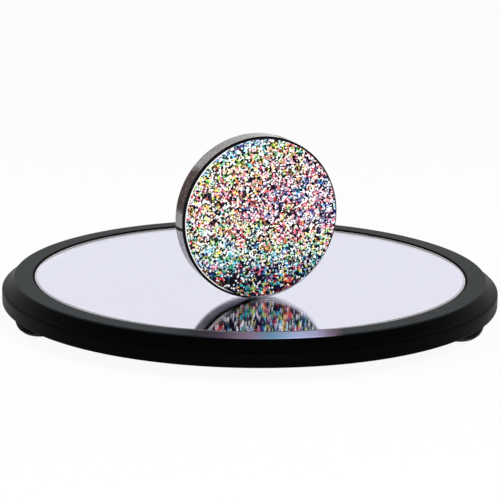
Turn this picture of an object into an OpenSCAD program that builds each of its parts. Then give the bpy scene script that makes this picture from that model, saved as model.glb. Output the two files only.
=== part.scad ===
// Spinning-disk toy: a heavy rounded steel disk with a decor sheet on one face, spun on its
// edge on a slightly concave glass mirror that a moulded two-piece base carries on three feet.
// Millimetres, +Z up. The origin is on the ground under the mirror's centre, and the user sits
// on the -Y side.

/* [Disk] */
// Diameter of the steel disk
disk_d = 76.2; // [66:0.1:90]
// Thickness of the steel disk
disk_t = 10.8; // [9:0.1:16]
// Radius that rounds the two rims of the disk
disk_edge_r = 0.9; // [0.6:0.1:2]
// Turn of the disk's face about the vertical, from square to the user
disk_turn = 21; // [-180:0.5:180]
// Distance from the mirror's centre to the standing disk, to the right
disk_right = 2.7; // [-20:0.1:20]
// Distance from the mirror's centre to the standing disk, to the front
disk_front = 31.2; // [0:0.1:50]
// Gap between the standing disk and the mirror, at the disk's outer rim
disk_gap = 0.1; // [0.05:0.05:0.3]

/* [Decor sheet] */
// Width of the flat steel ring left bare round the sheet
sheet_margin = 0.1; // [0.1:0.1:4]
// Thickness of the flexible magnet
magnet_t = 0.6; // [0.4:0.05:1]
// Thickness of the glitter film on the magnet
film_t = 0.2; // [0.1:0.05:0.4]
// How far the film's edge is trimmed inside the magnet's
film_trim = 0.1; // [0.05:0.05:0.5]
// How far the sheet was laid to the right of the disk's centre
sheet_right = -0.05; // [-0.5:0.05:0.5]
// How far the sheet was laid above the disk's centre
sheet_up = 0.05; // [-0.5:0.05:0.5]

/* [Mirror] */
// Diameter of the mirror
mirror_d = 206.4; // [190:0.2:212]
// Gap between the mirror's edge and the bezel, all round
mirror_gap = 0.5; // [0.2:0.05:0.8]
// Thickness of the mirror glass
mirror_t = 2.2; // [1.8:0.1:3]
// Depth of the mirror's hollow
mirror_sag = 2.8; // [0.4:0.1:3]
// Drop from the top of the bezel to the mirror's edge
mirror_drop = 0.4; // [0.2:0.1:1]
// Width of the bevel that is ground on the mirror's edge
bevel_w = 0.8; // [0.5:0.1:1.5]
// Depth of that bevel
bevel_h = 0.2; // [0.1:0.05:0.4]

/* [Bezel] */
// Width of the flat ring on top of the bezel
ring_w = 9.2; // [8.6:0.1:14]
// Run of the hollow flank, from the flat ring out to the tray's lip
flank_run = 4.9; // [4:0.1:7]
// Height of the bezel above the tray's lip
flank_h = 5.2; // [4.8:0.1:8]
// Radius of the hollow flank
flank_r = 10; // [7:0.5:30]
// Thickness of the bezel's walls
bezel_wall = 2.2; // [1.8:0.1:2.4]
// Thickness of the wall round the mirror
glass_wall = 1.8; // [1.2:0.1:2]
// Width of the ledge that carries the mirror's edge
ledge_w = 11; // [8:0.5:14]
// Thickness of the ledge
ledge_t = 2; // [1.6:0.1:2.2]
// Length of the tongue that centres the bezel in the tray
tongue_h = 1.6; // [1:0.1:3]

/* [Tray] */
// How far the tray's lip stands out past the bezel
lip_step = 0.7; // [0.3:0.1:1.5]
// Height of the lip
lip_h = 6.9; // [6.4:0.1:9]
// Thickness of the lip
lip_wall = 2.4; // [2:0.1:3]
// Thickness of the floor
floor_t = 2; // [1.5:0.1:2.2]
// Depth of the recess under the floor
floor_recess = 1; // [0.5:0.1:1.2]
// Thickness of the ribs and of the rings that they join
rib_t = 1.6; // [1.2:0.1:2.4]
// Height of the ribs
rib_h = 1.4; // [1:0.1:1.6]
// Number of radial ribs
rib_count = 12; // [6:1:18]
// Radius of the ring under the middle of the glass
hub_r = 16; // [12:0.5:24]
// Thickness of the foam under the glass, where it is thinnest
foam_t = 0.8; // [0.6:0.1:1]
// Width of the foam ring on the ledge
foam_w = 8; // [5:0.5:10]

/* [Screws] */
// Number of screws
screw_count = 6; // [3:1:8]
// Diameter of the screw's thread
screw_d = 2.9; // [2.2:0.1:3]
// Length of the thread
screw_len = 6; // [5:0.1:6.2]
// Diameter of the screw's head
screw_head_d = 5.6; // [5:0.1:6]
// Depth that the screw's head is sunk into the floor
screw_sink = 1.9; // [1.7:0.1:2.1]
// Diameter of the bosses that take the screws
boss_d = 6.2; // [5.8:0.1:6.6]

/* [Feet] */
// Height of the tray's lip above the ground
foot_h = 7.2; // [6:0.1:12]
// Angle of the two front feet in front of the middle line
foot_angle = 24; // [15:1:35]
// Diameter of the moulded leg where it leaves the tray
leg_d = 23.2; // [20:0.2:24]
// Diameter of the flat tread under the rubber foot
tread_d = 8; // [6:0.5:14]
// Height of the rubber foot
pad_h = 2.5; // [1.5:0.1:3.4]
// Diameter of the stem that plugs the rubber foot into the leg
stem_d = 6; // [4:0.1:8]
// Length of the stem
stem_h = 3.6; // [2.5:0.1:4]

/* [Fits] */
// Clearance round and under parts that are held still
fit = 0.1; // [0.05:0.05:0.2]

/* [Hidden] */

round_fn = 240;
small_fn = 48;
arc_steps = 10;
dish_steps = 16;

disk_r = disk_d / 2;
sheet_r = disk_r - disk_edge_r - max(sheet_margin, norm([sheet_right, sheet_up]));
mirror_r = mirror_d / 2;
window_r = mirror_r + mirror_gap;
ring_r = window_r + ring_w;
flank_foot_r = ring_r + flank_run;
lip_r = flank_foot_r + lip_step;

lip_top = foot_h + lip_h;
ring_top = lip_top + flank_h;
mirror_edge_z = ring_top - mirror_drop;
mirror_mid_z = mirror_edge_z - mirror_sag;
floor_under = foot_h + floor_recess;
floor_top = floor_under + floor_t;

ring_edge_r = 0.5;
glass_wall_r = window_r + glass_wall;
tongue_r = lip_r - lip_wall - fit;
screw_r = glass_wall_r + boss_d / 2 - 2 * fit;
screw_seat_z = floor_under + screw_sink;
well_roof = 1.6;
well_wall = 1.3;
well_top = screw_seat_z + well_roof;
tongue_z = max(lip_top - tongue_h, well_top + 2 * fit);

ledge_in_r = window_r - ledge_w;
foam_out_r = mirror_r - 1;
foam_in_r = foam_out_r - foam_w;
ledge_z = back_z(foam_in_r) - foam_t - fit;
land_z = ledge_z - ledge_t - fit;
hub_z = back_z(0) - foam_t - fit;
rib_top = min(hub_z, land_z, floor_top + rib_h) - fit;

leg_r = leg_d / 2;
tread_r = tread_d / 2;
dome_h = foot_h + 0.9;
pad_step = 0.3;
foot_ring_r = lip_r - leg_r - 0.8;
foot_left_a = 180 + foot_angle;
foot_right_a = -foot_angle;
foot_back_a = 90;

disk_from_mid = norm([disk_right, disk_front]);
disk_low_z = dish_z(disk_from_mid + disk_t / 2 - disk_edge_r) + disk_gap;

// Height of the mirror's face at a distance r from its centre: a shallow bowl.
function dish_z(r) = mirror_mid_z + mirror_sag * pow(r / mirror_r, 2);

// Height of the mirror's back, which runs parallel to its face.
function back_z(r) = dish_z(r) - mirror_t;

// Radius of a foot at a height z: a quarter of an ellipse from the tread up to the tray.
function dome_r(z) =
    let (u = max(0, dome_h - z) / dome_h)
    tread_r + (leg_r - tread_r) * sqrt(1 - u * u);

// Points along an arc about [x, y], from angle a0 to angle a1.
function arc(x, y, r, a0, a1, steps = arc_steps) = [
    for (i = [0:steps])
        let (a = a0 + (a1 - a0) * i / steps)
            [x + r * cos(a), y + r * sin(a)]
];

// Points along the arc of radius r from p to q that sags to the left of the way from p to q.
function sagging(p, q, r, steps = arc_steps) =
    let (d = q - p)
    let (half = norm(d) / 2)
    let (left = [-d[1], d[0]] / norm(d))
    let (c = (p + q) / 2 - left * sqrt(r * r - half * half))
    let (a0 = atan2(p[1] - c[1], p[0] - c[0]))
    arc(c[0], c[1], r, a0, a0 - 2 * asin(half / r), steps);

// The same points in the other order.
function reversed(list) = [for (i = [len(list) - 1:-1:0]) list[i]];

// Places a child in the standing disk's frame: local +Z is the face's outward normal and
// local +Y is up.
module on_disk() {
    translate([disk_right, -disk_front, disk_low_z + disk_r])
        rotate([0, 0, disk_turn])
            rotate([90, 0, 0])
                children();
}

// Steel disk with both rims rounded.
module steel_disk() {
    top = disk_t / 2;
    e = disk_edge_r;
    profile = concat(
        [[0, -top]],
        arc(disk_r - e, -top + e, e, -90, 0),
        arc(disk_r - e, top - e, e, 0, 90),
        [[0, top]]
    );
    color([0.62, 0.60, 0.61])
        on_disk()
            rotate_extrude($fn = round_fn)
                polygon(profile);
}

// Places a child on the disk's face, off centre as the sheet was laid.
module on_face(lift) {
    on_disk()
        translate([sheet_right, sheet_up, disk_t / 2 + lift])
            children();
}

// Flexible magnet that holds the film on the steel.
module magnet_sheet() {
    color([0.09, 0.08, 0.08])
        on_face(0)
            cylinder(r = sheet_r, h = magnet_t, $fn = round_fn);
}

// Glitter film bonded to the magnet.
module glitter_film() {
    color([0.72, 0.70, 0.82])
        on_face(magnet_t)
            cylinder(r = sheet_r - film_trim, h = film_t, $fn = round_fn);
}

// Mirror: glass slumped to a shallow bowl and silvered on its back, the same thickness all
// over, with a ground bevel round its face.
module mirror_glass() {
    bowl_r = mirror_r - bevel_w;
    face = [for (i = [0:dish_steps]) [bowl_r * i / dish_steps, dish_z(bowl_r * i / dish_steps)]];
    back = [for (p = reversed(face)) [p[0], p[1] - mirror_t]];
    edge = [
        [mirror_r, dish_z(mirror_r) - bevel_h],
        [mirror_r, back_z(mirror_r) + bevel_h]
    ];
    color([0.86, 0.87, 0.93])
        rotate_extrude($fn = round_fn)
            polygon(concat(face, edge, back));
}

// Repeats a child at each screw.
module at_screws() {
    for (i = [0:screw_count - 1])
        rotate([0, 0, i * 360 / screw_count])
            translate([screw_r, 0, 0])
                children();
}

// Bezel: flat ring, hollow flank, a wall round the mirror with a ledge under its edge, a tongue
// that centres the bezel in the tray, and a boss for each screw.
module bezel() {
    foot_z = lip_top + 2 * fit;
    roof_z = ring_top - bezel_wall;
    flank_top = [ring_r, ring_top - ring_edge_r];
    flank_foot = [flank_foot_r, foot_z];
    slope = (flank_foot - flank_top) / norm(flank_foot - flank_top);
    under = flank_top + [slope[1], -slope[0]] * bezel_wall;
    tongue_in_r = tongue_r - bezel_wall;
    // Where the flank's underside meets the roof and the tongue.
    roof_r = min(under[0] + slope[0] * (roof_z - under[1]) / slope[1], tongue_in_r - fit);
    knee_z = min(under[1] + slope[1] * (tongue_in_r - under[0]) / slope[0], roof_z - fit);
    under_z = ledge_z - ledge_t;
    profile = concat(
        [[ledge_in_r, ledge_z], [window_r, ledge_z]],
        arc(window_r + ring_edge_r, ring_top - ring_edge_r, ring_edge_r, 180, 90),
        arc(ring_r - ring_edge_r, ring_top - ring_edge_r, ring_edge_r, 90, 0),
        reversed(sagging(flank_foot, flank_top, flank_r)),
        [[tongue_r, foot_z], [tongue_r, tongue_z], [tongue_in_r, tongue_z]],
        [[tongue_in_r, knee_z], [roof_r, roof_z], [glass_wall_r, roof_z]],
        [[glass_wall_r, under_z], [ledge_in_r, under_z]]
    );
    // The space under the roof that the bosses may fill.
    room = [
        [glass_wall_r - fit, well_top + fit], [tongue_in_r + fit, well_top + fit],
        [tongue_in_r + fit, knee_z + fit], [roof_r + fit, roof_z + fit],
        [glass_wall_r - fit, roof_z + fit]
    ];
    color([0.16, 0.18, 0.19])
        difference() {
            union() {
                rotate_extrude($fn = round_fn)
                    polygon(profile);
                intersection() {
                    rotate_extrude($fn = round_fn)
                        polygon(room);
                    at_screws()
                        cylinder(d = boss_d, h = ring_top, $fn = small_fn);
                }
            }
            at_screws()
                cylinder(d = screw_d + fit, h = screw_seat_z + screw_len + 3 * fit, $fn = small_fn);
        }
}

// A ring that stands on the tray's floor.
module ring_rib(r, top) {
    translate([0, 0, floor_top - fit])
        difference() {
            cylinder(r = r, h = top - floor_top + fit, $fn = round_fn);
            translate([0, 0, -1])
                cylinder(r = r - rib_t, h = top - floor_top + fit + 2, $fn = round_fn);
        }
}

// Moulded leg under the tray: the upper part of a foot's dome.
module leg() {
    top = floor_under + fit;
    dome = [
        for (i = [0:arc_steps])
            let (z = pad_h + (top - pad_h) * i / arc_steps)
                [dome_r(z), z]
    ];
    rotate_extrude($fn = 2 * small_fn)
        polygon(concat([[0, pad_h]], dome, [[0, top]]));
}

// Repeats a child at a foot.
module at_foot(a) {
    rotate([0, 0, a])
        translate([foot_ring_r, 0, 0])
            children();
}

module at_feet() {
    for (a = [foot_left_a, foot_right_a, foot_back_a])
        at_foot(a)
            children();
}

// Tray: lip, recessed floor, rings that carry the ledge and the middle of the glass, ribs that
// join them, wells for the screws, and legs with sockets for the stems of the feet.
module tray() {
    bottom_r = 0.8;
    top_r = 0.8;
    recess_r = lip_r - 2 * lip_wall;
    well_d = screw_head_d + 2 * well_wall;
    shell = concat(
        [[0, floor_under], [recess_r - floor_recess, floor_under], [recess_r, foot_h]],
        arc(lip_r - bottom_r, foot_h + bottom_r, bottom_r, -90, 0),
        arc(lip_r - top_r, lip_top - top_r, top_r, 0, 90),
        [[lip_r - lip_wall, lip_top], [lip_r - lip_wall, floor_top], [0, floor_top]]
    );
    color([0.05, 0.06, 0.06])
        difference() {
            union() {
                rotate_extrude($fn = round_fn)
                    polygon(shell);
                ring_rib(foam_out_r, land_z);
                ring_rib(ledge_in_r + 2 * rib_t, land_z);
                ring_rib((hub_r + ledge_in_r) / 2, rib_top);
                ring_rib(hub_r, hub_z);
                for (i = [0:rib_count - 1])
                    rotate([0, 0, (i + 0.5) * 360 / rib_count])
                        translate([hub_r - rib_t / 2, -rib_t / 2, floor_top - fit])
                            cube([foam_out_r - hub_r, rib_t, rib_top - floor_top + fit]);
                at_screws()
                    translate([0, 0, floor_under])
                        cylinder(d = well_d, h = well_top - floor_under, $fn = small_fn);
                at_feet()
                    leg();
            }
            at_screws() {
                cylinder(d = screw_d + 5 * fit, h = well_top + 1, $fn = small_fn);
                cylinder(d = screw_head_d + 6 * fit, h = screw_seat_z, $fn = small_fn);
            }
            at_feet()
                cylinder(d = stem_d + fit, h = pad_h + stem_h + 2 * fit, $fn = small_fn);
        }
}

// Foam tape that bonds the glass to the bezel's ledge. Its top follows the glass.
module foam_ring() {
    steps = 4;
    top = [
        for (i = [0:steps])
            let (r = foam_out_r - foam_w * i / steps)
                [r, back_z(r) - fit]
    ];
    color([0.85, 0.84, 0.80])
        rotate_extrude($fn = round_fn)
            polygon(concat([[foam_in_r, ledge_z], [foam_out_r, ledge_z]], top));
}

// Foam pad on the hub, under the middle of the glass.
module centre_pad() {
    color([0.85, 0.84, 0.80])
        translate([0, 0, hub_z])
            cylinder(r = hub_r, h = foam_t, $fn = 2 * small_fn);
}

// Pan-head screws that draw the bezel down on the tray from below.
module screws() {
    head_h = 1.5;
    crown = 0.5;
    point_r = 0.4;
    drive_w = 0.7;
    drive_l = 3;
    head_r = screw_head_d / 2;
    shaft_r = screw_d / 2;
    profile = [
        [0, -head_h], [head_r - 2 * crown, -head_h],
        [head_r - crown / 2, crown - head_h], [head_r, -crown], [head_r, 0],
        [shaft_r, 0], [shaft_r, screw_len - shaft_r], [point_r, screw_len], [0, screw_len]
    ];
    color([0.45, 0.45, 0.47])
        at_screws()
            translate([0, 0, screw_seat_z])
                difference() {
                    rotate_extrude($fn = small_fn)
                        polygon(profile);
                    for (a = [0, 90])
                        rotate([0, 0, a])
                            translate([-drive_l / 2, -drive_w / 2, -2 * head_h])
                                cube([drive_l, drive_w, 1.6 * head_h]);
                }
}

// Rubber foot: the low part of a dome, with a stem that plugs into its leg.
module foot(a) {
    dome = [
        for (i = [0:arc_steps])
            let (z = pad_h * i / arc_steps)
                [dome_r(z) - pad_step * i / arc_steps, z]
    ];
    stem = [
        [stem_d / 2, pad_h], [stem_d / 2, pad_h + stem_h - 2 * fit],
        [stem_d / 2 - 2 * fit, pad_h + stem_h], [0, pad_h + stem_h]
    ];
    color([0.08, 0.08, 0.08])
        at_foot(a)
            rotate_extrude($fn = 2 * small_fn)
                polygon(concat([[0, 0]], dome, stem));
}

module foot_left() {
    foot(foot_left_a);
}

module foot_right() {
    foot(foot_right_a);
}

module foot_back() {
    foot(foot_back_a);
}

steel_disk();
magnet_sheet();
glitter_film();
mirror_glass();
bezel();
tray();
foam_ring();
centre_pad();
screws();
foot_left();
foot_right();
foot_back();
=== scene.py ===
"""The looks of a spinning-disk toy: a chromed disk with a glitter sheet on a concave mirror."""

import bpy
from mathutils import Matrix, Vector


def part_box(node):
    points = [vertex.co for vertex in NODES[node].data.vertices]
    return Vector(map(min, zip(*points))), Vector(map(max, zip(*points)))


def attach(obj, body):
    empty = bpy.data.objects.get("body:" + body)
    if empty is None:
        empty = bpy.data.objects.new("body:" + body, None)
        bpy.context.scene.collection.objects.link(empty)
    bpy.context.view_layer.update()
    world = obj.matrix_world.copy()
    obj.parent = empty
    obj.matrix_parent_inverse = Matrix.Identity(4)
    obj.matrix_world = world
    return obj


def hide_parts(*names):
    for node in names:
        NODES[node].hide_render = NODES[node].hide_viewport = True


bl_info = {
    "name": "Spinning Disk Toy",
    "version": (1, 0, 0),
    "blender": (4, 5, 0),
    "location": "View3D > Sidebar > Disk Toy",
    "description": "Dresses the disk, its glitter sheet, the mirror and the moulded base",
    "category": "Object",
}

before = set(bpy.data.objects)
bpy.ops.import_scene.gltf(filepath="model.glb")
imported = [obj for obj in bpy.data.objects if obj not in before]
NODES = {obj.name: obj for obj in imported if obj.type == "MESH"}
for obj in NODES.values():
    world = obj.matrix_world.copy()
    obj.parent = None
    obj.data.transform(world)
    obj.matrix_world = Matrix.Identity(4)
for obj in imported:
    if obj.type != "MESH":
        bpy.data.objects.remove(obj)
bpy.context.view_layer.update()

import math

import bmesh
import bpy
import numpy as np
from mathutils import Matrix, Vector

MM = 0.001

# The frame's own measures, in millimetres.
FILM_LOW, FILM_HIGH = [np.array(c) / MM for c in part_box("glitter_film")]
MAGNET_LOW, MAGNET_HIGH = [np.array(c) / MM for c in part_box("magnet_sheet")]
DISK_LOW, DISK_HIGH = [np.array(c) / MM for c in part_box("steel_disk")]
RING_TOP = float(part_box("bezel")[1].z / MM)
LIP_TOP = float(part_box("tray")[1].z / MM)

TURN = math.radians(21.0)
FACE_NORMAL = np.array([math.sin(TURN), -math.cos(TURN), 0.0])
FACE_RIGHT = np.array([math.cos(TURN), math.sin(TURN), 0.0])
FACE_UP = np.array([0.0, 0.0, 1.0])


# ---------------------------------------------------------------- surfaces


def arc(x, y, radius, start, end, steps):
    """Points (x + radius cos a, y + radius sin a) for angles a from start to end, in degrees."""
    a = np.radians(np.linspace(start, end, steps + 1))
    return np.stack([x + radius * np.cos(a), y + radius * np.sin(a)], -1)


def revolve(profile, turns=360):
    """Carries a profile of points (r, z) round the Z axis: at turn t a point is
    (r cos t, r sin t, z). A profile that ends on the axis gets one vertex at each pole, and
    any other profile is a closed loop whose last point joins its first."""
    profile = np.asarray(profile, float)
    poles = abs(profile[0, 0]) < 1e-9 and abs(profile[-1, 0]) < 1e-9
    ring = profile[1:-1] if poles else profile
    t = np.linspace(0, 2 * np.pi, turns, endpoint=False)
    r, z = ring[:, 0], ring[:, 1]
    points = np.stack(
        [np.outer(r, np.cos(t)), np.outer(r, np.sin(t)), np.repeat(z[:, None], turns, 1)], -1
    ).reshape(-1, 3)
    rows = len(ring)
    i = np.arange(rows - 1 if poles else rows)[:, None]
    j = np.arange(turns)[None, :]
    nxt = (j + 1) % turns
    below = (i + 1) % rows
    quads = np.stack(
        [i * turns + j, i * turns + nxt, below * turns + nxt, below * turns + j], -1
    ).reshape(-1, 4)
    faces = [quads]
    if poles:
        first, last = len(points), len(points) + 1
        points = np.vstack([points, [[0, 0, profile[0, 1]], [0, 0, profile[-1, 1]]]])
        j = np.arange(turns)
        nxt = (j + 1) % turns
        faces.append(np.stack([np.full(turns, first), nxt, j], -1))
        low = (rows - 1) * turns
        faces.append(np.stack([np.full(turns, last), low + j, low + nxt], -1))
    return points, faces


def volume(points, faces):
    """Signed volume of a closed mesh: the sum of a . (b x c) / 6 over its triangles."""
    total = 0.0
    for block in faces:
        for k in range(1, block.shape[1] - 1):
            a, b, c = points[block[:, 0]], points[block[:, k]], points[block[:, k + 1]]
            total += float(np.einsum("ij,ij->i", a, np.cross(b, c)).sum()) / 6
    return total


def on_disk(points, right=0.0, up=0.0):
    """Moves points from the disk's own axes to the frame: a point (x, y, z) becomes the disk's
    centre + (x + right) along the face, + (y + up) upwards, + z along the face's normal."""
    centre = (DISK_LOW + DISK_HIGH) / 2
    x, y, z = points[:, 0:1] + right, points[:, 1:2] + up, points[:, 2:3]
    return centre + x * FACE_RIGHT + y * FACE_UP + z * FACE_NORMAL


def add_piece(name, points, faces, body, node, material, smooth_angle=32):
    """Makes a mesh object from points in millimetres and blocks of faces, outward, smooth up to
    an angle, and hands it to the frame."""
    if volume(points, faces) < 0:
        faces = [block[:, ::-1] for block in faces]
    mesh = bpy.data.meshes.new(name)
    mesh.from_pydata((points * MM).tolist(), [], [f for block in faces for f in block.tolist()])
    mesh.validate()
    return dress(name, mesh, body, node, material, smooth_angle)


def dress(name, mesh, body, node, material, smooth_angle=32):
    """Links a mesh as a piece that rides on a body, stands for a node and takes a material."""
    mesh.shade_smooth()
    mesh.set_sharp_from_angle(angle=math.radians(smooth_angle))
    mesh.materials.clear()
    mesh.materials.append(material)
    piece = bpy.data.objects.new(name, mesh)
    bpy.context.scene.collection.objects.link(piece)
    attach(piece, body)
    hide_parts(node)
    return piece


def merged_copy(node):
    """A copy of a node's mesh with its loose triangles joined."""
    mesh = NODES[node].data.copy()
    work = bmesh.new()
    work.from_mesh(mesh)
    bmesh.ops.remove_doubles(work, verts=work.verts, dist=1e-6)
    work.to_mesh(mesh)
    work.free()
    return mesh


# ---------------------------------------------------------------- shader maths


class Term:
    """A number on its way through a material. Arithmetic on it adds Math nodes."""

    def __init__(self, tree, socket):
        self.tree = tree
        self.socket = socket

    def _math(self, operation, *values):
        node = self.tree.nodes.new("ShaderNodeMath")
        node.operation = operation
        for socket, value in zip(node.inputs, values):
            if isinstance(value, Term):
                self.tree.links.new(value.socket, socket)
            else:
                socket.default_value = value
        return Term(self.tree, node.outputs[0])

    def __add__(self, other):
        return self._math("ADD", self, other)

    __radd__ = __add__

    def __sub__(self, other):
        return self._math("SUBTRACT", self, other)

    def __rsub__(self, other):
        return self._math("SUBTRACT", other, self)

    def __mul__(self, other):
        return self._math("MULTIPLY", self, other)

    __rmul__ = __mul__

    def __truediv__(self, other):
        return self._math("DIVIDE", self, other)

    def __rtruediv__(self, other):
        return self._math("DIVIDE", other, self)

    def __pow__(self, power):
        return self._math("POWER", self, power)

    def above(self, edge):
        """1 where the number is greater than edge, else 0."""
        return self._math("GREATER_THAN", self, edge)

    def below(self, edge):
        """1 where the number is less than edge, else 0."""
        return self._math("LESS_THAN", self, edge)

    def most(self, other):
        """The greater of two numbers."""
        return self._math("MAXIMUM", self, other)

    def wrapped(self):
        """The number's part after the point."""
        return self._math("FRACT", self)

    def clipped(self):
        """The number held between 0 and 1."""
        return self._math("MINIMUM", self._math("MAXIMUM", self, 0.0), 1.0)


class Finish:
    """A material that is put together node by node, or a world, if one is given."""

    def __init__(self, name, world=None):
        self.material = world or bpy.data.materials.new(name)
        self.material.use_nodes = True
        self.tree = self.material.node_tree
        self.tree.nodes.clear()

    def node(self, kind, settings=None, sockets=None):
        """Adds a node: settings are its attributes or a ramp's stops, sockets its inputs."""
        node = self.tree.nodes.new(kind)
        for key, value in (settings or {}).items():
            if key == "stops":
                self._stops(node.color_ramp, value)
            elif key.startswith("color_ramp."):
                node.color_ramp.interpolation = value
            else:
                setattr(node, key, value)
        for key, value in (sockets or {}).items():
            self._feed(node.inputs[key], value)
        return node

    def _feed(self, socket, value):
        if isinstance(value, Term):
            self.tree.links.new(value.socket, socket)
        elif isinstance(value, bpy.types.NodeSocket):
            self.tree.links.new(value, socket)
        else:
            socket.default_value = value

    @staticmethod
    def _stops(ramp, stops):
        while len(ramp.elements) < len(stops):
            ramp.elements.new(0.5)
        for element, (place, colour) in zip(ramp.elements, stops):
            element.position = place
            element.color = colour

    def term(self, node, output=0):
        """One of a node's outputs as a number."""
        return Term(self.tree, node.outputs[output])

    def place(self, turn=0.0, centre=(0.0, 0.0, 0.0)):
        """Object coordinates, moved so that centre is the origin and turned about Z."""
        coords = self.node("ShaderNodeTexCoord").outputs["Object"]
        moved = self.node(
            "ShaderNodeVectorMath",
            {"operation": "SUBTRACT"},
            {0: coords, 1: centre},
        ).outputs[0]
        return self.node(
            "ShaderNodeMapping",
            {"vector_type": "POINT"},
            {"Vector": moved, "Rotation": (0, 0, -turn)},
        ).outputs[0]

    def parts(self, vector):
        """A vector's three numbers."""
        split = self.node("ShaderNodeSeparateXYZ", None, {0: vector})
        return [self.term(split, k) for k in range(3)]

    def noise(self, vector, scale, detail=3.0, rough=0.5):
        """Smooth noise from 0 to 1, with scale features a metre."""
        return self.term(
            self.node(
                "ShaderNodeTexNoise",
                None,
                {"Vector": vector, "Scale": scale, "Detail": detail, "Roughness": rough},
            ),
            "Fac",
        )

    def cells(self, vector, scale, stray=0.85):
        """A field of cells, scale a metre: the node's Distance and Color outputs are used."""
        return self.node(
            "ShaderNodeTexVoronoi", None, {"Vector": vector, "Scale": scale, "Randomness": stray}
        )

    def random3(self, cells):
        """Three random numbers that are the same all over a cell."""
        split = self.node("ShaderNodeSeparateColor", None, {0: cells.outputs["Color"]})
        return [self.term(split, k) for k in range(3)]

    def mix(self, share, a, b, blend="MIX"):
        """Colour a where share is 0 and colour b where it is 1."""
        node = self.node("ShaderNodeMix", {"data_type": "RGBA", "blend_type": blend})
        self._feed(node.inputs[0], share)
        self._feed(node.inputs[6], a)
        self._feed(node.inputs[7], b)
        return node.outputs[2]

    def bump(self, height, distance, strength=1.0):
        """A normal that follows a height from 0 to 1, distance deep."""
        return self.node(
            "ShaderNodeBump", None, {"Height": height, "Distance": distance, "Strength": strength}
        ).outputs[0]

    def surface(self, sockets):
        """Ends the material in a Principled shader."""
        shader = self.node("ShaderNodeBsdfPrincipled", None, sockets)
        self.node("ShaderNodeOutputMaterial", None, {0: shader.outputs[0]})
        return self.material


# ---------------------------------------------------------------- finishes


def rgba(colour):
    """A colour property as four numbers."""
    return (colour[0], colour[1], colour[2], 1.0)


def dimmed(colour, share):
    """A colour at a share of its light."""
    return tuple(min(1.0, c * share) for c in colour[:3]) + (1.0,)


# Radii of the disk and of its sheet, in metres, that the patterns on them are scaled by.
DISK_REACH = 0.0381
SHEET_REACH = 0.037

# Direction from the disk's centre round which the tarnish lies, from the face's right upwards.
TARNISH_AT = math.radians(157)

# Colour of the painted dark reflection on the disk's rim.
DARK_REFLECTION_COLOUR = (0.004, 0.004, 0.005, 1.0)
WHITE = (1.0, 1.0, 1.0, 1.0)


def chrome_plate(settings):
    """Dark chrome over turned steel. Specks of dull metal cover it, and on a stretch of the rim
    they turn to a brown tarnish. The rounding beside the sheet carries a painted dark
    reflection, but for a painted bright reflection low on its right. Low on the left the
    painted dark reflection spreads over the rim's front. Lower down the chrome is painted
    darker, as painted shade."""
    f = Finish("chrome_plate")
    centre = tuple(((DISK_LOW + DISK_HIGH) / 2 * MM).tolist())
    p = f.place(TURN, centre)
    x, depth, z = f.parts(p)
    colour, tarnish = settings.chrome, settings.tarnish
    speck = f.noise(p, 1100.0, 1.0)
    haze = f.noise(p, 90.0, 3.0)
    mottle = ((speck - 0.5) * 3.0 + 0.5 + (haze - 0.5) * 0.8).clipped()
    plain = f.mix(mottle, dimmed(colour, 0.35), dimmed(colour, 1.5))
    along = (z * math.sin(TARNISH_AT) + x * math.cos(TARNISH_AT)) / DISK_REACH
    stretch = ((along - 0.945 + (haze - 0.5) * 0.05) * 40.0).clipped()
    spots = ((speck - 0.58) * 14.0).clipped()
    brown = f.mix(spots, dimmed(tarnish, 0.2), dimmed(tarnish, 2.6))
    right, down = x / DISK_REACH, z / -DISK_REACH
    # Painted shade: the chrome darkens towards the bottom.
    plain = f.mix(((down - 0.3) * 2.2).clipped() * 0.8, plain, (0.03, 0.03, 0.03, 1.0))
    out = (x**2 + z**2) ** 0.5
    rounding = depth.below(-(settings.thickness / 2 - settings.edge) * MM)
    rounding = rounding * out.above((settings.radius - settings.edge - 0.2) * MM)
    # Painted bright reflection low on the right of the rounding.
    bright_reflection = rounding * ((down - 0.40) * 6.0).clipped() * ((right + 0.15) * 5.0).clipped()
    # Painted dark reflection, spreading low on the left over the rim's front.
    spread = ((down - 0.62) * 6.0).clipped() * ((-0.1 - right) * 5.0).clipped()
    spread = spread * ((depth + (settings.thickness / 2 - 3.2) * MM) * -800.0).clipped()
    # The rounding beside the sheet carries the painted dark reflection too.
    dark_reflection = rounding.most(spread)
    metal = f.mix(dark_reflection, f.mix(stretch, plain, brown), DARK_REFLECTION_COLOUR)
    return f.surface(
        {
            "Base Color": f.mix(bright_reflection, metal, (0.85, 0.85, 0.86, 1.0)),
            "Metallic": 1.0 - stretch.most(dark_reflection * (1.0 - bright_reflection)) * 0.9,
            "Roughness": 0.035 + haze * 0.03 + stretch * 0.25,
            "Specular IOR Level": 0.05,
            "Normal": f.bump(speck, 0.00002, 0.5),
        }
    )


def flexible_magnet(colour):
    """Matt black magnet sheet with the grain of its filler."""
    f = Finish("flexible_magnet")
    p = f.place()
    grain = f.noise(p, 2500.0, 2.0)
    return f.surface(
        {
            "Base Color": f.mix(grain, rgba(colour), (0.05, 0.045, 0.045, 1.0)),
            "Roughness": 0.55 + grain * 0.2,
            "Normal": f.bump(grain, 0.00003),
        }
    )


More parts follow.
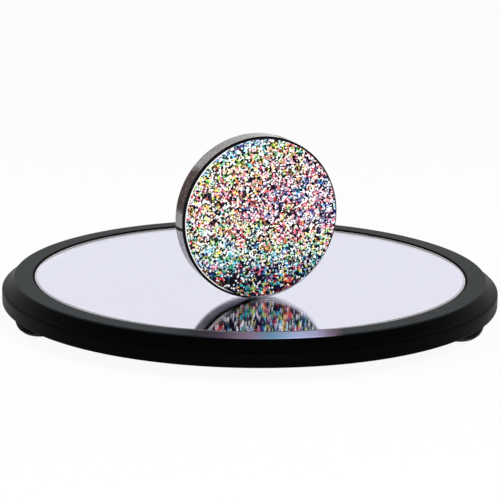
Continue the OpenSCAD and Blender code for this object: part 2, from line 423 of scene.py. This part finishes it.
# The colours that the foil splits light into, once round.
FOIL = [
    (0.00, (0.90, 0.01, 0.06, 1)), (0.07, (1.00, 0.16, 0.04, 1)), (0.14, (1.00, 0.46, 0.03, 1)),
    (0.21, (1.00, 0.88, 0.10, 1)), (0.28, (0.60, 0.88, 0.05, 1)), (0.35, (0.06, 0.60, 0.14, 1)),
    (0.42, (0.01, 0.42, 0.38, 1)), (0.49, (0.03, 0.78, 0.85, 1)), (0.56, (0.10, 0.72, 1.00, 1)),
    (0.63, (0.02, 0.18, 0.80, 1)), (0.70, (0.03, 0.04, 0.34, 1)), (0.77, (0.10, 0.05, 0.30, 1)),
    (0.84, (0.62, 0.07, 0.28, 1)), (0.90, (1.00, 0.27, 0.44, 1)), (0.95, (1.00, 0.08, 0.22, 1)),
]


def glitter(settings):
    """Holographic flakes about a millimetre across, each of one colour. Some are painted black,
    as painted shade, and some painted white, as painted glints. The colour runs slantwise over
    the sheet, as a foil splits the light, and each flake strays from it and leans its own way."""
    f = Finish("holographic_glitter")
    centre = tuple(((FILM_LOW + FILM_HIGH) / 2 * MM).tolist())
    p = f.place(TURN, centre)
    x, _, z = f.parts(p)
    size = settings.flake_size * MM
    flake = f.cells(p, 1.0 / size)
    _, kind_die, light_die = f.random3(flake)
    small_flakes = f.cells(p, 1.5 / size)
    _, small_flake_kind, small_flake_light = f.random3(small_flakes)
    hue_die, wash_die, _ = f.random3(f.cells(p, 0.5 / size))
    drift = f.noise(p, 130.0, 2.0)
    patch = f.noise(p, 110.0, 1.0)
    right, up = x / SHEET_REACH, z / SHEET_REACH
    # Painted shade: the flakes low on the sheet are darker, with fewer white glints, and differ
    # more. The colour stops running there.
    low = ((-0.5 - up) * 4.0).clipped()
    held = up.most(-0.62)
    run = held * held * 0.95 - held * 0.45 + 0.03 - right * (held * 0.8 + 1.0) * 0.17
    hue = run + (drift - 0.5) * 1.2 + (hue_die - 0.5) * (low * 0.5 + settings.hue_spread) + 3.0
    foil = f.node(
        "ShaderNodeValToRGB",
        {"stops": FOIL, "color_ramp.interpolation": "CONSTANT"},
        {0: hue.wrapped()},
    ).outputs[0]
    # Some flakes are paled towards white, a painted sheen.
    wash = wash_die * (0.24 - low * 0.2) + ((kind_die - 0.76 - low * 0.12) * 4.0).clipped() * 0.55
    tint = f.mix(wash, foil, (1.0, 0.985, 1.0, 1.0))
    # Flakes with little shine are painted near-black: painted shade.
    shine = ((kind_die - 0.35 - low * 0.12 - (patch - 0.5) * (low * 1.6 + 0.5)) * 3.0).clipped()
    colour = f.mix(shine, (0.004, 0.003, 0.016, 1.0), tint)
    # White flakes are painted glints.
    colour = f.mix(light_die.above(0.82 + low * 0.11), colour, WHITE)
    # Small specks are painted black or white; the white ones are painted glints.
    colour = f.mix(small_flake_kind.below(0.15 + low * 0.15), colour, (0.002, 0.002, 0.006, 1.0))
    colour = f.mix(small_flake_kind.above(0.92 + low * 0.05), colour, WHITE)
    # A painted highlight: the film's outer edge is white on the left, for the bright reflection
    # there.
    cut = ((FILM_HIGH[2] - FILM_LOW[2]) / 2 - 0.4) * MM
    rim = ((x**2 + z**2) ** 0.5).above(cut) * ((right * -1.0 - 0.35) * 6.0).clipped()
    colour = f.mix(rim, colour, WHITE)
    lean = f.node(
        "ShaderNodeVectorMath",
        {"operation": "SUBTRACT"},
        {0: flake.outputs["Color"], 1: (0.5, 0.5, 0.5)},
    ).outputs[0]
    lean = f.node(
        "ShaderNodeVectorMath", {"operation": "SCALE"}, {0: lean, "Scale": 0.30}
    ).outputs[0]
    facing = f.node("ShaderNodeNewGeometry").outputs["Normal"]
    normal = f.node("ShaderNodeVectorMath", {"operation": "ADD"}, {0: facing, 1: lean}).outputs[0]
    normal = f.node("ShaderNodeVectorMath", {"operation": "NORMALIZE"}, {0: normal}).outputs[0]
    return f.surface(
        {
            "Base Color": colour,
            "Metallic": 0.15 + light_die * 0.15,
            "Roughness": 0.38 + small_flake_light * 0.2,
            "Specular IOR Level": 0.1,
            "Normal": normal,
        }
    )


def clear_glass(colour, ground):
    """Clear glass with the faintest smears on it. The bevel round its face is bright, and its
    outer half and the edge below it are painted black: painted shade of the dark gap at the
    bezel's wall."""
    f = Finish("clear_glass")
    p = f.place()
    x, y, _ = f.parts(p)
    smear = f.noise(p, 25.0, 4.0)
    frost = f.noise(p, 1400.0, 2.0)
    out = (x**2 + y**2) ** 0.5
    bevel = out.above((MIRROR_R - BEVEL_W + 0.02) * MM)
    # Painted shade: the bevel's outer part and the edge below it are black.
    rim = out.above((MIRROR_R - DARK_GAP_W) * MM)
    clear = f.node(
        "ShaderNodeBsdfPrincipled",
        None,
        {
            "Base Color": f.mix(smear, dimmed(colour, 0.99), rgba(colour)),
            "Roughness": smear * 0.01,
            "IOR": 1.52,
            "Transmission Weight": 1.0,
        },
    )
    matt = f.node(
        "ShaderNodeBsdfPrincipled",
        None,
        {
            "Base Color": f.mix(rim, rgba(ground), (0.002, 0.002, 0.002, 1.0)),
            "Metallic": 1.0 - rim,
            "Roughness": 0.25 + frost * 0.3,
            "Specular IOR Level": 0.05,
        },
    )
    both = f.node(
        "ShaderNodeMixShader", None, {0: bevel, 1: clear.outputs[0], 2: matt.outputs[0]}
    )
    f.node("ShaderNodeOutputMaterial", None, {0: both.outputs[0]})
    return f.material


def silver_coat(colour):
    """The silver on the glass's back, a touch uneven."""
    f = Finish("silver_coat")
    haze = f.noise(f.place(), 25.0, 4.0)
    return f.surface(
        {
            "Base Color": f.mix(haze, dimmed(colour, 0.97), rgba(colour)),
            "Metallic": 1.0,
            "Roughness": 0.01 + haze * 0.015,
        }
    )


# The light that the foil throws on the ring in front of it, from 26 mm left of the middle to
# 41 mm right of it.
FOIL_LIGHT = [
    (0.24, (0.004, 0.004, 0.004, 1)), (0.38, (0.046, 0.030, 0.055, 1)),
    (0.50, (0.19, 0.13, 0.20, 1)), (0.60, (0.10, 0.23, 0.36, 1)), (0.70, (0.31, 0.38, 0.58, 1)),
    (0.79, (0.31, 0.30, 0.49, 1)), (0.85, (0.15, 0.11, 0.16, 1)), (0.91, (0.004, 0.004, 0.004, 1)),
]

# The ring's top takes that light where it lies further forward than this, in metres.
FOIL_LIGHT_FRONT = -0.09


def moulded_plastic(name, colour, rough, painted_sheen=None):
    """Black moulding with the fine spark texture of its tool. A painted sheen colour, if there is
    one, covers what lies within half a millimetre of the bezel's top: a painted reflection that
    makes the top lighter than the flank."""
    f = Finish(name)
    p = f.place()
    spark = f.noise(p, 1500.0, 3.0, 0.6)
    cloud = f.noise(p, 30.0, 3.0)
    fleck = cloud * 0.5 + spark * 0.5
    shade = f.mix(fleck, dimmed(colour, 0.6), dimmed(colour, 1.4))
    if painted_sheen:
        x, y, z = f.parts(p)
        out = (x**2 + y**2) ** 0.5
        # The painted reflection stops half a millimetre out from the window; the black left there
        # is painted shade.
        top = z.above((RING_TOP - 0.5) * MM) * out.above((WINDOW_R + 0.5) * MM)
        along = (x + 0.05) * 10.0 + (spark - 0.5) * 0.1
        sheen = f.node("ShaderNodeValToRGB", {"stops": FOIL_LIGHT}, {0: along}).outputs[0]
        painted_sheen = f.mix(fleck, dimmed(painted_sheen, 0.75), dimmed(painted_sheen, 1.25))
        painted_sheen = f.mix(y.below(FOIL_LIGHT_FRONT), painted_sheen, f.mix(1.0, painted_sheen, sheen, "LIGHTEN"))
        shade = f.mix(top, shade, painted_sheen)
    return f.surface(
        {
            "Base Color": shade,
            "Roughness": rough + (spark - 0.5) * 0.16 + (cloud - 0.5) * 0.08,
            "Specular IOR Level": 0.02,
            "Normal": f.bump(spark, 0.00006, 0.8),
        }
    )


def soft_rubber(colour):
    """Matt rubber with a dusty bloom."""
    f = Finish("soft_rubber")
    p = f.place()
    bloom = f.noise(p, 180.0, 4.0)
    grain = f.noise(p, 1800.0, 2.0)
    return f.surface(
        {
            "Base Color": f.mix(bloom, rgba(colour), (0.045, 0.043, 0.042, 1.0)),
            "Roughness": 0.68 + bloom * 0.18,
            "Normal": f.bump(grain, 0.00004),
        }
    )


def foam(colour):
    """Closed-cell foam: small round cells."""
    f = Finish("closed_cell_foam")
    p = f.place()
    cells = f.cells(p, 1600.0)
    pit = f.term(cells, "Distance")
    return f.surface(
        {
            "Base Color": f.mix(pit, rgba(colour), (0.45, 0.44, 0.41, 1.0)),
            "Roughness": 0.85,
            "Normal": f.bump(pit, 0.0001),
        }
    )


def zinc_plate(colour):
    """Zinc-plated screw steel with a cloudy passivation."""
    f = Finish("zinc_plate")
    p = f.place()
    cloud = f.noise(p, 700.0, 3.0)
    return f.surface(
        {
            "Base Color": f.mix(cloud, rgba(colour), (0.55, 0.53, 0.47, 1.0)),
            "Metallic": 1.0,
            "Roughness": 0.28 + cloud * 0.2,
        }
    )


# ---------------------------------------------------------------- user settings


class DISKTOY_PG_disk(bpy.types.PropertyGroup):
    """Sizes and finish of the disk and its decor sheet."""

    radius: bpy.props.FloatProperty(
        name="Disk radius", description="Radius of the steel disk, in millimetres",
        default=float((DISK_HIGH[2] - DISK_LOW[2]) / 2), unit="NONE",
    )
    thickness: bpy.props.FloatProperty(
        name="Disk thickness", description="Thickness of the steel disk, in millimetres",
        default=10.8, unit="NONE",
    )
    edge: bpy.props.FloatProperty(
        name="Edge radius", description="Rounding of the disk's rims, in millimetres",
        default=0.9, unit="NONE",
    )
    sheet_right: bpy.props.FloatProperty(
        name="Sheet right", description="Offset of the decor sheet to the right, in millimetres",
        default=-0.05, unit="NONE",
    )
    sheet_up: bpy.props.FloatProperty(
        name="Sheet up", description="Offset of the decor sheet upwards, in millimetres",
        default=0.05, unit="NONE",
    )
    magnet_thickness: bpy.props.FloatProperty(
        name="Magnet thickness", description="Thickness of the flexible magnet, in millimetres",
        default=0.6, unit="NONE",
    )
    film_thickness: bpy.props.FloatProperty(
        name="Film thickness", description="Thickness of the glitter film, in millimetres",
        default=0.2, unit="NONE",
    )
    flake_size: bpy.props.FloatProperty(
        name="Flake size", description="Size of a glitter flake, in millimetres",
        default=0.95, min=0.3, max=5.0, unit="NONE",
    )
    hue_spread: bpy.props.FloatProperty(
        name="Hue spread", description="How far neighbouring flakes differ in hue",
        default=0.5, min=0.0, max=1.0, subtype="FACTOR",
    )
    chrome: bpy.props.FloatVectorProperty(
        name="Chrome", description="Colour of the chrome plate",
        default=(0.255, 0.235, 0.235), size=3, min=0.0, max=1.0, subtype="COLOR",
    )
    tarnish: bpy.props.FloatVectorProperty(
        name="Tarnish", description="Colour of the tarnish on the rim",
        default=(0.085, 0.042, 0.036), size=3, min=0.0, max=1.0, subtype="COLOR",
    )
    magnet: bpy.props.FloatVectorProperty(
        name="Magnet", description="Colour of the flexible magnet",
        default=(0.012, 0.012, 0.012), size=3, min=0.0, max=1.0, subtype="COLOR",
    )


class DISKTOY_PG_base(bpy.types.PropertyGroup):
    """Finish of the mirror and of the moulded base."""

    glass: bpy.props.FloatVectorProperty(
        name="Glass", description="Tint of the mirror's glass",
        default=(0.96, 0.965, 0.99), size=3, min=0.0, max=1.0, subtype="COLOR",
    )
    silver: bpy.props.FloatVectorProperty(
        name="Silver", description="Tint of the silver on the glass's back",
        default=(0.83, 0.825, 0.945), size=3, min=0.0, max=1.0, subtype="COLOR",
    )
    bevel: bpy.props.FloatVectorProperty(
        name="Bevel", description="Colour of the mirror's ground bevel",
        default=(0.95, 0.95, 0.96), size=3, min=0.0, max=1.0, subtype="COLOR",
    )
    bezel: bpy.props.FloatVectorProperty(
        name="Bezel", description="Colour of the bezel",
        default=(0.0006, 0.0006, 0.00065), size=3, min=0.0, max=1.0, subtype="COLOR",
    )
    # The bezel's top is painted lighter than its flank: a painted reflection.
    painted_sheen: bpy.props.FloatVectorProperty(
        name="Satin top", description="Colour of the bezel's satin top",
        default=(0.0105, 0.0145, 0.0170), size=3, min=0.0, max=1.0, subtype="COLOR",
    )
    tray: bpy.props.FloatVectorProperty(
        name="Tray", description="Colour of the tray",
        default=(0.0006, 0.0006, 0.00065), size=3, min=0.0, max=1.0, subtype="COLOR",
    )
    rubber: bpy.props.FloatVectorProperty(
        name="Feet", description="Colour of the rubber feet",
        default=(0.014, 0.014, 0.014), size=3, min=0.0, max=1.0, subtype="COLOR",
    )
    foam: bpy.props.FloatVectorProperty(
        name="Foam", description="Colour of the foam under the glass",
        default=(0.62, 0.61, 0.57), size=3, min=0.0, max=1.0, subtype="COLOR",
    )
    screws: bpy.props.FloatVectorProperty(
        name="Screws", description="Colour of the screws",
        default=(0.66, 0.66, 0.68), size=3, min=0.0, max=1.0, subtype="COLOR",
    )


# ---------------------------------------------------------------- the disk


class DISKTOY_OT_steel_disk(bpy.types.Operator):
    """Make the chromed steel disk."""

    bl_idname = "disktoy.steel_disk"
    bl_label = "Steel Disk"

    def execute(self, context):
        s = context.scene.disk_toy_disk
        half, edge, flat = s.thickness / 2, s.edge, 0.12
        rim = s.radius - edge
        profile = np.vstack(
            [
                [[0, -half], [rim / 2, -half], [rim - flat, -half]],
                arc(rim, -half + edge, edge, -90, 0, 12),
                [[s.radius, -half + edge + flat], [s.radius, half - edge - flat]],
                arc(rim, half - edge, edge, 0, 90, 12),
                [[rim - flat, half], [rim / 2, half], [0, half]],
            ]
        )
        points, faces = revolve(profile, 512)
        add_piece(
            "disk_body", on_disk(points), faces, "disk", "steel_disk",
            chrome_plate(s),
        )
        return {"FINISHED"}


def sheet_disc(radius, low, thickness, edge):
    """Profile of a thin disc from z = low: flat faces with a small edge radius."""
    high = low + thickness
    flat = 0.06
    return np.vstack(
        [
            [[0, low], [radius / 2, low], [radius - edge - flat, low]],
            arc(radius - edge, low + edge, edge, -90, 0, 4),
            arc(radius - edge, high - edge, edge, 0, 90, 4),
            [[radius - edge - flat, high], [radius / 2, high], [0, high]],
        ]
    )


class DISKTOY_OT_decor_sheet(bpy.types.Operator):
    """Make the flexible magnet and the glitter film on it."""

    bl_idname = "disktoy.decor_sheet"
    bl_label = "Decor Sheet"

    def execute(self, context):
        s = context.scene.disk_toy_disk
        low, radius = s.thickness / 2, (MAGNET_HIGH[2] - MAGNET_LOW[2]) / 2
        points, faces = revolve(sheet_disc(radius, low, s.magnet_thickness, 0.08))
        points = on_disk(points, s.sheet_right, s.sheet_up)
        add_piece(
            "magnet_backing", points, faces, "film", "magnet_sheet",
            flexible_magnet(s.magnet),
        )
        low, radius = low + s.magnet_thickness, (FILM_HIGH[2] - FILM_LOW[2]) / 2
        points, faces = revolve(sheet_disc(radius, low, s.film_thickness, 0.05))
        points = on_disk(points, s.sheet_right, s.sheet_up)
        add_piece(
            "glitter_face", points, faces, "film", "glitter_film", glitter(s),
        )
        return {"FINISHED"}


# ---------------------------------------------------------------- the base

MIRROR_R = 103.2
MIRROR_T = 2.2
MIRROR_SAG = 2.8
MIRROR_DROP = 0.4
SILVER_T = 0.06
# The last width here is that of the black round the glass's rim: painted shade.
BEVEL_W, BEVEL_H, DARK_GAP_W = 0.8, 0.2, 0.45
WINDOW_R = 103.7
RING_W = 9.2
RING_EDGE = 0.5
FLANK_RUN = 4.9
FLANK_R = 10.0
BEZEL_WALL = 2.2
GLASS_WALL = 1.8
LEDGE_R, LEDGE_T = 92.7, 2.0
SCREW_R, BOSS_R, BORE_R, BOSS_Z = 108.4, 3.1, 1.5, 11.8


def dish(r):
    """Height of the mirror's face: the edge's height less the sag, plus sag (r / rim)^2."""
    return RING_TOP - MIRROR_DROP - MIRROR_SAG + MIRROR_SAG * (r / MIRROR_R) ** 2


def many(points, faces, moves):
    """Copies of a mesh, one at each of a list of (x, y) moves."""
    count = len(points)
    placed = [points + [x, y, 0.0] for x, y in moves]
    blocks = [block + k * count for k in range(len(moves)) for block in faces]
    return np.vstack(placed), blocks


def joined(first, second):
    """Two meshes as one."""
    points, faces = first
    more, blocks = second
    return np.vstack([points, more]), list(faces) + [block + len(points) for block in blocks]


class DISKTOY_OT_mirror(bpy.types.Operator):
    """Make the concave mirror."""

    bl_idname = "disktoy.mirror"
    bl_label = "Concave Mirror"

    def execute(self, context):
        s = context.scene.disk_toy_base
        r = np.linspace(0, MIRROR_R - BEVEL_W, 64)
        under = dish(r) - MIRROR_T
        face = np.stack([r, dish(r)], -1)
        back = np.stack([r, under + SILVER_T / 2], -1)[::-1]
        rim = dish(MIRROR_R)
        edge = np.array([[MIRROR_R, rim - BEVEL_H], [MIRROR_R, rim - MIRROR_T + BEVEL_H]])
        points, faces = revolve(np.vstack([face, edge, back]), 512)
        add_piece(
            "mirror_plate", points, faces, "base", "mirror_glass",
            clear_glass(s.glass, s.bevel),
        )
        coat = np.vstack([np.stack([r, under + SILVER_T], -1), np.stack([r, under], -1)[::-1]])
        points, faces = revolve(coat, 512)
        add_piece(
            "mirror_silver", points, faces, "base", "mirror_glass", silver_coat(s.silver),
        )
        return {"FINISHED"}


def hollow(p, q, radius, steps):
    """Points from p to q on the arc of that radius that sags inwards, below the chord."""
    p, q = np.asarray(p, float), np.asarray(q, float)
    d = q - p
    half = np.linalg.norm(d) / 2
    right = np.array([-d[1], d[0]]) / (2 * half)
    centre = (p + q) / 2 + right * math.sqrt(radius**2 - half**2)
    a0 = math.atan2(*(p - centre)[::-1])
    a1 = math.atan2(*(q - centre)[::-1])
    turn = (a1 - a0 + math.pi) % (2 * math.pi) - math.pi
    return arc(centre[0], centre[1], radius, math.degrees(a0), math.degrees(a0 + turn), steps)


class DISKTOY_OT_bezel(bpy.types.Operator):
    """Make the bezel with its hollow flank."""

    bl_idname = "disktoy.bezel"
    bl_label = "Bezel"

    def execute(self, context):
        s = context.scene.disk_toy_base
        ring = WINDOW_R + RING_W
        foot = ring + FLANK_RUN
        foot_z = LIP_TOP + 0.2
        top = RING_TOP
        ledge, wall = float(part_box("foam_ring")[0].z / MM), WINDOW_R + GLASS_WALL
        flat = 0.15
        profile = np.vstack(
            [
                [[LEDGE_R, ledge], [WINDOW_R, ledge]],
                arc(WINDOW_R + RING_EDGE, top - RING_EDGE, RING_EDGE, 180, 90, 10),
                [[WINDOW_R + RING_EDGE + flat, top], [ring - RING_EDGE - flat, top]],
                arc(ring - RING_EDGE, top - RING_EDGE, RING_EDGE, 90, 0, 10),
                hollow((ring, top - RING_EDGE), (foot, foot_z), FLANK_R, 24)[1:],
                [[foot - 1.5, foot_z], [foot - 1.8, LIP_TOP - 1.4], [foot - 3.9, LIP_TOP - 1.4]],
                [[ring + 0.9, top - BEZEL_WALL - 1.5], [ring, top - BEZEL_WALL]],
                [[wall, top - BEZEL_WALL], [wall, ledge - LEDGE_T], [LEDGE_R, ledge - LEDGE_T]],
            ]
        )
        roof = top - BEZEL_WALL + 0.3
        boss = [[BORE_R, BOSS_Z], [BOSS_R, BOSS_Z], [BOSS_R, roof], [BORE_R, roof]]
        turns = np.radians(np.arange(0, 360, 60))
        places = SCREW_R * np.stack([np.cos(turns), np.sin(turns)], -1)
        ring_mesh, bosses = revolve(profile, 512), many(*revolve(boss, 32), places)
        points, faces = joined(ring_mesh, bosses)
        add_piece(
            "bezel_ring", points, faces, "base", "bezel",
            moulded_plastic("bezel_moulding", s.bezel, 0.35, s.painted_sheen),
        )
        return {"FINISHED"}


class DISKTOY_OT_tray(bpy.types.Operator):
    """Make the tray from the frame's own solid."""

    bl_idname = "disktoy.tray"
    bl_label = "Tray"

    def execute(self, context):
        s = context.scene.disk_toy_base
        dress(
            "tray_shell", merged_copy("tray"), "base", "tray",
            moulded_plastic("tray_moulding", s.tray, 0.35),
        )
        return {"FINISHED"}


class DISKTOY_OT_feet(bpy.types.Operator):
    """Make the three rubber feet."""

    bl_idname = "disktoy.feet"
    bl_label = "Rubber Feet"

    def execute(self, context):
        s = context.scene.disk_toy_base
        rubber = soft_rubber(s.rubber)
        for side in ("left", "right", "back"):
            dress(
                "pad_" + side, merged_copy("foot_" + side), "base", "foot_" + side,
                rubber,
            )
        return {"FINISHED"}


class DISKTOY_OT_hidden_parts(bpy.types.Operator):
    """Finish the screws, the foam ring and the centre pad."""

    bl_idname = "disktoy.hidden_parts"
    bl_label = "Screws and Foam"

    def execute(self, context):
        s = context.scene.disk_toy_base
        padding = foam(s.foam)
        for node, material in (
            ("screws", zinc_plate(s.screws)), ("foam_ring", padding), ("centre_pad", padding),
        ):
            NODES[node].data.materials.clear()
            NODES[node].data.materials.append(material)
        return {"FINISHED"}


# ---------------------------------------------------------------- the stage


# Share of plain white in what the camera sees of the floor. The rest carries the shadow.
FLOOR_WHITE = 0.93

# Brightness of the cove by height: 0 is the horizon and 1 straight overhead.
COVE = [
    (0.0, WHITE), (0.38, WHITE), (0.62, (0.40, 0.40, 0.40, 1)), (1.0, (0.28, 0.28, 0.28, 1)),
]

# The camera: how far off and how high it stands, its turns off the base's middle, and its
# focal length and the picture's width in picture points.
CAMERA_FAR, CAMERA_RISE = 1.0667, math.radians(14.39)
CAMERA_YAW, CAMERA_PITCH, CAMERA_ROLL = [math.radians(a) for a in (0.011, 0.587, -0.70)]
CAMERA_FOCUS, PICTURE_WIDTH = 2221.9, 500
SENSOR_WIDTH = 36.0


def stage_floor():
    """A wide pale floor: white to the camera, and it still takes the object's soft shadow."""
    half = 6.0
    mesh = bpy.data.meshes.new("floor")
    mesh.from_pydata(
        [(-half, -half, 0), (half, -half, 0), (half, half, 0), (-half, half, 0)], [], [(0, 1, 2, 3)]
    )
    floor = bpy.data.objects.new("floor", mesh)
    bpy.context.scene.collection.objects.link(floor)
    f = Finish("pale_floor")
    path = f.node("ShaderNodeLightPath")
    seen = f.term(path, "Is Camera Ray")
    paper = f.node("ShaderNodeBsdfDiffuse", None, {"Color": (0.86, 0.86, 0.87, 1.0)})
    white = f.node("ShaderNodeEmission", None, {"Color": WHITE, "Strength": 1.0})
    mixed = f.node(
        "ShaderNodeMixShader",
        None,
        {0: seen * FLOOR_WHITE, 1: paper.outputs[0], 2: white.outputs[0]},
    )
    f.node("ShaderNodeOutputMaterial", None, {0: mixed.outputs[0]})
    mesh.materials.append(f.material)


def stage_world():
    """A world that is white to the camera. To the object it is a lit cove, bright low down and
    dimmer overhead."""
    world = bpy.data.worlds.new("cove")
    bpy.context.scene.world = world
    f = Finish("cove", world)
    path = f.node("ShaderNodeLightPath")
    seen = f.term(path, "Is Camera Ray")
    direction = f.node("ShaderNodeTexCoord").outputs["Generated"]
    height = f.parts(direction)[2]
    ramp = f.node("ShaderNodeValToRGB", {"stops": COVE}, {0: height}).outputs[0]
    sky = f.mix(seen, ramp, WHITE)
    background = f.node("ShaderNodeBackground", None, {"Color": sky, "Strength": 1.0})
    f.node("ShaderNodeOutputWorld", None, {0: background.outputs[0]})


def add_softbox(name, place, aim, size, energy):
    """A square soft lamp at a place, turned towards a point. No ray shows it."""
    lamp = bpy.data.lights.new(name, "AREA")
    lamp.shape = "SQUARE"
    lamp.size = size
    lamp.energy = energy
    box = bpy.data.objects.new(name, lamp)
    box.location = place
    box.rotation_euler = (Vector(aim) - Vector(place)).to_track_quat("-Z", "Y").to_euler()
    box.visible_camera = False
    box.visible_glossy = False
    box.visible_transmission = False
    bpy.context.scene.collection.objects.link(box)


def stage_camera():
    """A long lens a little over a metre off, looking down at the base from 14 degrees."""
    place = CAMERA_FAR * Vector((0, -math.cos(CAMERA_RISE), math.sin(CAMERA_RISE)))
    ahead = -place.normalized()
    right = ahead.cross(Vector((0, 0, 1))).normalized()
    up = right.cross(ahead)
    turn = Matrix.Rotation(CAMERA_YAW, 3, up)
    ahead, right = turn @ ahead, turn @ right
    turn = Matrix.Rotation(CAMERA_PITCH, 3, right)
    ahead, up = turn @ ahead, turn @ up
    turn = Matrix.Rotation(CAMERA_ROLL, 3, ahead)
    right, up = turn @ right, turn @ up
    data = bpy.data.cameras.new("camera")
    data.sensor_width = SENSOR_WIDTH
    data.lens = SENSOR_WIDTH * CAMERA_FOCUS / PICTURE_WIDTH
    data.dof.use_dof = False
    data.clip_start, data.clip_end = 0.01, 50.0
    camera = bpy.data.objects.new("camera", data)
    axes = Matrix((right, up, -ahead)).transposed().to_4x4()
    camera.matrix_world = Matrix.Translation(place + Vector((0, 0, RING_TOP * MM))) @ axes
    bpy.context.scene.collection.objects.link(camera)
    bpy.context.scene.camera = camera


class DISKTOY_OT_stage(bpy.types.Operator):
    """Make the floor, the light and the camera."""

    bl_idname = "disktoy.stage"
    bl_label = "Stage"

    def execute(self, context):
        context.scene.view_settings.view_transform = "Standard"
        stage_floor()
        stage_world()
        middle = (0.0, 0.0, 0.04)
        add_softbox("key_box", (0.5, -0.9, 0.9), middle, 0.7, 13.0)
        add_softbox("side_box", (-0.9, -0.3, 0.5), middle, 0.5, 3.0)
        stage_camera()
        return {"FINISHED"}


# ---------------------------------------------------------------- the add-on

OPERATORS = (
    DISKTOY_OT_steel_disk, DISKTOY_OT_decor_sheet, DISKTOY_OT_mirror, DISKTOY_OT_bezel,
    DISKTOY_OT_tray, DISKTOY_OT_feet, DISKTOY_OT_hidden_parts, DISKTOY_OT_stage,
)


class DISKTOY_PT_panel(bpy.types.Panel):
    """Lists the toy's pieces in the sidebar."""

    bl_idname = "DISKTOY_PT_panel"
    bl_label = "Disk Toy"
    bl_space_type = "VIEW_3D"
    bl_region_type = "UI"
    bl_category = "Disk Toy"

    def draw(self, context):
        for operator in OPERATORS:
            self.layout.operator(operator.bl_idname)
        for group in (context.scene.disk_toy_disk, context.scene.disk_toy_base):
            for key in group.__annotations__:
                self.layout.prop(group, key)


CLASSES = (DISKTOY_PG_disk, DISKTOY_PG_base) + OPERATORS + (DISKTOY_PT_panel,)


def register():
    """Adds the classes and the scene's settings."""
    for cls in CLASSES:
        bpy.utils.register_class(cls)
    bpy.types.Scene.disk_toy_disk = bpy.props.PointerProperty(type=DISKTOY_PG_disk)
    bpy.types.Scene.disk_toy_base = bpy.props.PointerProperty(type=DISKTOY_PG_base)


def unregister():
    """Removes them again."""
    del bpy.types.Scene.disk_toy_base
    del bpy.types.Scene.disk_toy_disk
    for cls in reversed(CLASSES):
        bpy.utils.unregister_class(cls)


def main():
    """Makes every piece and the stage."""
    register()
    for operator in OPERATORS:
        group, name = operator.bl_idname.split(".")
        getattr(getattr(bpy.ops, group), name)()


if __name__ == "__main__":
    main()
